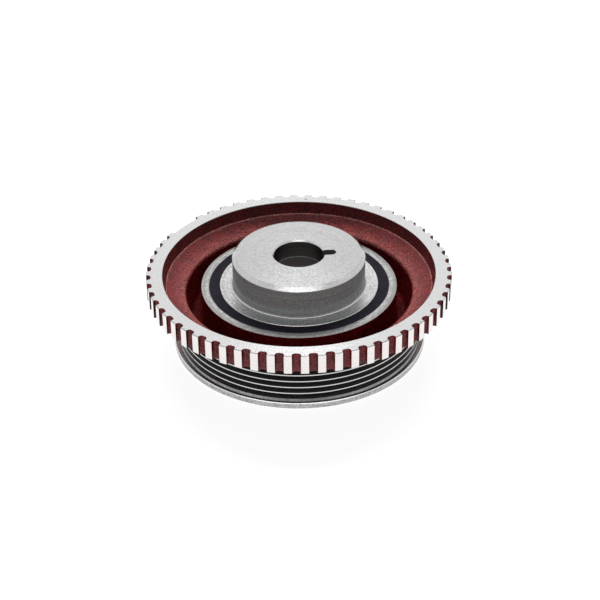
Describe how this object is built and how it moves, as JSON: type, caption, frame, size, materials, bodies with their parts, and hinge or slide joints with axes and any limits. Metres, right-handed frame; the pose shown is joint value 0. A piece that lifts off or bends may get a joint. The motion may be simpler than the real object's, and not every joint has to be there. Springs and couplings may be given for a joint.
{
  "type": "harmonic balancer",
  "caption": "Round crankshaft damper pulley: keyed hub boss, rubber-bonded inertia ring with a ribbed belt track and a toothed trigger rim.",
  "frame": {"origin": "on the crankshaft axis, in the outer front face, on which the part stands", "axes": "+Z along the crankshaft axis towards the engine; +X from the axis through the keyway"},
  "size_m": [0.1564, 0.1564, 0.0504],
  "materials": {
    "machined_steel": "turned, satin, bare",
    "rubber": "moulded, dull, near-black",
    "painted_casting": "cast iron with dark red paint; bare turned metal on the rim, teeth, sleeve face and belt track"
  },
  "bodies": {
    "root": {"hub": "machined_steel", "rubber_ring": "rubber", "inertia_ring": "painted_casting"}
  },
  "joints": []
}
